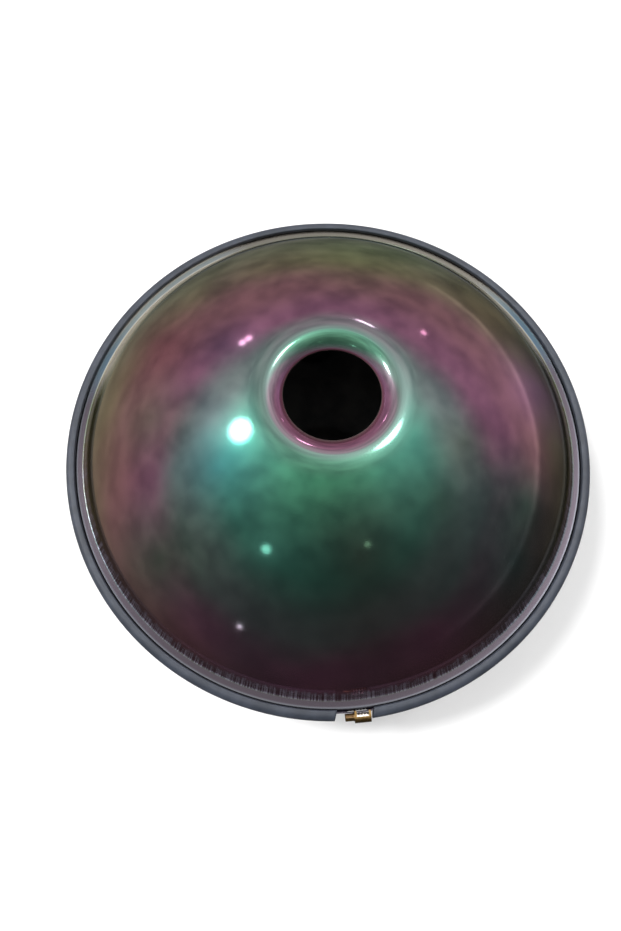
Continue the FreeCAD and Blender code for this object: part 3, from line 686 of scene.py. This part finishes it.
def guard_mesh():
    """Points and faces of the hose, closed by a cut at either end."""
    outer, inner = guard_skins()
    loop = outer + inner[::-1]
    spans = [(cut_angle(r, GAP_RIGHT), cut_angle(r, GAP_LEFT) + 2 * math.pi) for r, _ in loop]
    points, faces = [], []
    for k in range(GUARD_STEPS + 1):
        for (radius, height), (start, end) in zip(loop, spans):
            angle = start + (end - start) * k / GUARD_STEPS
            points.append((radius * math.cos(angle), radius * math.sin(angle), height + PARTING))
    count = len(loop)
    for k in range(GUARD_STEPS):
        a, b = k * count, (k + 1) * count
        for j in range(count):
            n = (j + 1) % count
            faces.append((a + j, a + n, b + n, b + j))
    for base, order in ((0, 1), (GUARD_STEPS * count, -1)):
        for j in range(len(outer) - 1):
            faces.append((base + j, base + count - 1 - j, base + count - 2 - j,
                          base + j + 1)[::order])
    return points, faces


points, faces = guard_mesh()
mesh_object("guard_hose", points, faces, "pan", "rim_guard", [rubber])


# ---------------------------------------------------------------- clamp and seam, CAD nodes

def dress(node, material):
    """Give a carried-over CAD node its material."""
    mesh = frame["nodes"][node].data
    mesh.materials.clear()
    mesh.materials.append(material)


dress("seam_adhesive", glue)
dress("clamp_band", strip)
dress("clamp_tongue", strip)
dress("screw_housing", zinc)
dress("worm_screw", bright)


# ---------------------------------------------------------------- floor

FLOOR_HALF = 20.0  # metres


def floor():
    """Pale studio floor that the pan lies on."""
    material, nodes, shader = new_material("pale_floor")
    nodes.fill(shader, {
        "Base Color": (0.8, 0.8, 0.8, 1),
        "Roughness": 0.9,
        "Specular IOR Level": 0.0,
        "Emission Color": (1, 1, 1, 1),
        "Emission Strength": 0.15,
    })
    mesh = bpy.data.meshes.new("floor")
    corners = [(-1, -1), (1, -1), (1, 1), (-1, 1)]
    mesh.from_pydata([(x * FLOOR_HALF, y * FLOOR_HALF, 0) for x, y in corners], [], [(0, 1, 2, 3)])
    mesh.materials.append(material)
    made = bpy.data.objects.new("floor", mesh)
    bpy.context.scene.collection.objects.link(made)
    made.visible_glossy = False


# ---------------------------------------------------------------- light

def toward(azimuth, elevation):
    """Unit vector towards an azimuth from +X and an elevation, in degrees."""
    a, e = math.radians(azimuth), math.radians(elevation)
    return Vector((math.cos(a) * math.cos(e), math.sin(a) * math.cos(e), math.sin(e)))


# Lights of the studio: azimuth, elevation, half width in degrees, strength, colour
LAMPS = [
    (161, 54, 4.2, 34.0, (1.0, 1.0, 1.0)),
    (37, 70, 3.8, 26.0, (1.0, 1.0, 1.0)),
    (119, 31, 1.1, 12.0, (1.0, 0.95, 1.0)),
    (116, 31, 1.1, 12.0, (1.0, 0.95, 1.0)),
    (71, 37, 1.6, 14.0, (1.0, 0.95, 1.0)),
    (68, 38, 1.6, 14.0, (1.0, 0.95, 1.0)),
    (49, 23, 0.8, 10.0, (1.0, 0.9, 0.95)),
    (-128, 41, 1.8, 4.5, (1.0, 1.0, 1.0)),
    (-125, 4, 0.8, 9.0, (1.0, 1.0, 1.0)),
    (-72, 47, 1.0, 2.5, (1.0, 1.0, 0.8)),
]
# Haze about the lights, the same entries
GLOWS = [
    (160, 53, 9.0, 2.4, (1.0, 1.0, 1.0)),
    (158, 52, 15.0, 0.5, (1.0, 1.0, 1.0)),
    (37, 70, 8.0, 2.5, (1.0, 1.0, 1.0)),
    (40, 66, 16.0, 0.5, (1.0, 1.0, 1.0)),
    (117, 31, 5.0, 0.5, (1.0, 0.95, 1.0)),
    (69, 37, 5.0, 0.5, (1.0, 0.95, 1.0)),
    (-128, 41, 5.0, 0.20, (1.0, 1.0, 1.0)),
    (-5, 55, 18.0, 0.45, (1.0, 1.0, 1.0)),
    (22, -2, 14.0, 0.4, (1.0, 0.9, 1.1)),
    (160, -25, 20.0, 0.25, (1.2, 1.0, 0.8)),
]
LAMP_RIM = (1.25, 0.75)  # in half widths, where a light starts and where it is full

# Brightness of the room from straight down (0) to straight up (1)
ROOM_LEVELS = [(0.0, 0.08), (0.115, 0.10), (0.25, 0.18), (0.33, 0.28), (0.415, 0.42), (0.50, 0.50),
               (0.67, 0.65), (0.82, 0.85), (0.935, 1.2), (0.97, 1.4), (1.0, 1.2)]
# and from the dim side of the room (0) to the bright side (1), which lies at this azimuth
BRIGHT_SIDE = 97
SIDE_LEVELS = [(0.0, 0.10), (0.05, 0.11), (0.13, 0.15), (0.20, 0.25), (0.32, 0.50), (0.45, 0.90),
               (0.525, 1.0), (1.0, 1.0)]
# A low wall to the right: bright along its top edge and dark under it
WALL_FADE = (0.35, 0.75)
WALL_LEVELS = [(0.0, 0.35), (0.410, 0.40), (0.424, 1.0), (0.432, 1.9), (0.442, 1.5), (0.455, 1.0),
               (1.0, 1.0)]
CLOUD_TONES = (0.60, 0.60, 0.63), (1.40, 1.37, 1.32)
# Plain greys that the floor is lit by and that stand behind everything
FILL_GREY, BACKDROP_GREY = (0.8, 0.8, 0.8), (0.93, 0.93, 0.93)


def disc(nodes, facing, half_width):
    """Even light out to its half width, from the cosine of the angle off its middle."""
    start, full = (math.cos(half_width * part) for part in LAMP_RIM)
    return nodes.rises(facing, start, full, "LINEAR")


def haze(nodes, facing, half_width):
    """Light that thins out from its middle."""
    spread = 1 / half_width**2
    return nodes.maths("EXPONENT", nodes.total(-spread, (facing, spread)))


def world():
    """Studio room seen in the polished steel, with a plain grey behind the pan."""
    made = bpy.data.worlds.new("studio")
    bpy.context.scene.world = made
    made.use_nodes = True
    made.node_tree.nodes.clear()
    nodes = Nodes(made.node_tree)
    ray = nodes.coordinates()["Generated"]
    right, _, up = nodes.parts(ray)
    height = nodes.total(0.5, (up, 0.5))
    side = nodes.total(0.5, (nodes.measure("DOT_PRODUCT", ray, toward(BRIGHT_SIDE, 0)), 0.5))
    room = nodes.blend(1.0, nodes.levels(height, ROOM_LEVELS), nodes.levels(side, SIDE_LEVELS),
                       "MULTIPLY")
    walled = nodes.blend(1.0, room, nodes.levels(height, WALL_LEVELS), "MULTIPLY")
    room = nodes.blend(nodes.rises(right, *WALL_FADE), room, walled)
    cloud = nodes.mottle(nodes.noise(ray, scale=6.0, detail=6.0, roughness=0.6), *CLOUD_TONES)
    room = nodes.blend(1.0, room, cloud, "MULTIPLY")
    for lights, falloff in ((LAMPS, disc), (GLOWS, haze)):
        for azimuth, elevation, width, strength, color in lights:
            facing = nodes.measure("DOT_PRODUCT", ray, toward(azimuth, elevation))
            power = falloff(nodes, facing, math.radians(width))
            glow = nodes.blend(1.0, tuple(c * strength for c in color), power, "MULTIPLY")
            room = nodes.blend(1.0, room, glow, "ADD")
    path = nodes.add("ShaderNodeLightPath").outputs
    room = nodes.blend(path["Is Diffuse Ray"], room, FILL_GREY)
    room = nodes.blend(path["Is Camera Ray"], room, BACKDROP_GREY)
    background = nodes.add("ShaderNodeBackground", {"Color": room, "Strength": 1.0})
    nodes.add("ShaderNodeOutputWorld", {0: background.outputs[0]})


# Round light high on the left: azimuth and elevation, then metres and watts
KEY_WAY, KEY_DISTANCE, KEY_AIM, KEY_SIZE, KEY_POWER = (163.5, 65), 3.0, (0, 0, 0.1), 0.5, 52


def key_light():
    """Lamp that throws the pan's shadow to the right."""
    light = bpy.data.lights.new("key", "AREA")
    light.shape = "DISK"
    light.size = KEY_SIZE
    light.energy = KEY_POWER
    made = bpy.data.objects.new("key", light)
    made.location = KEY_DISTANCE * toward(*KEY_WAY)
    made.rotation_euler = (Vector(KEY_AIM) - made.location).to_track_quat("-Z", "Y").to_euler()
    bpy.context.scene.collection.objects.link(made)
    made.visible_glossy = False


# ---------------------------------------------------------------- camera

# Metres from the middle of the pan's parting plane, millimetres of film and lens, degrees of roll
CAMERA_PLACE, CAMERA_AIM = (-0.039713, -0.211388, 0.596348), (-0.020186, -0.023748, 0)
FILM_WIDTH, LENS, ROLL = 36.0, 35.942, 0.6187


def camera():
    """Camera above the clamp's side, looking down on the port."""
    lens = bpy.data.cameras.new("camera")
    lens.sensor_width = FILM_WIDTH
    lens.sensor_fit = "HORIZONTAL"
    lens.lens = LENS
    made = bpy.data.objects.new("camera", lens)
    bpy.context.scene.collection.objects.link(made)
    place, aim = (Vector((x, y, z + PARTING * MM)) for x, y, z in (CAMERA_PLACE, CAMERA_AIM))
    turn = (aim - place).to_track_quat("-Z", "Y")
    made.location = place
    made.rotation_euler = (turn @ Euler((0, 0, math.radians(ROLL))).to_quaternion()).to_euler()
    bpy.context.scene.camera = made


floor()
world()
key_light()
camera()
view = bpy.context.scene.view_settings
view.view_transform = "Standard"
view.look = "None"
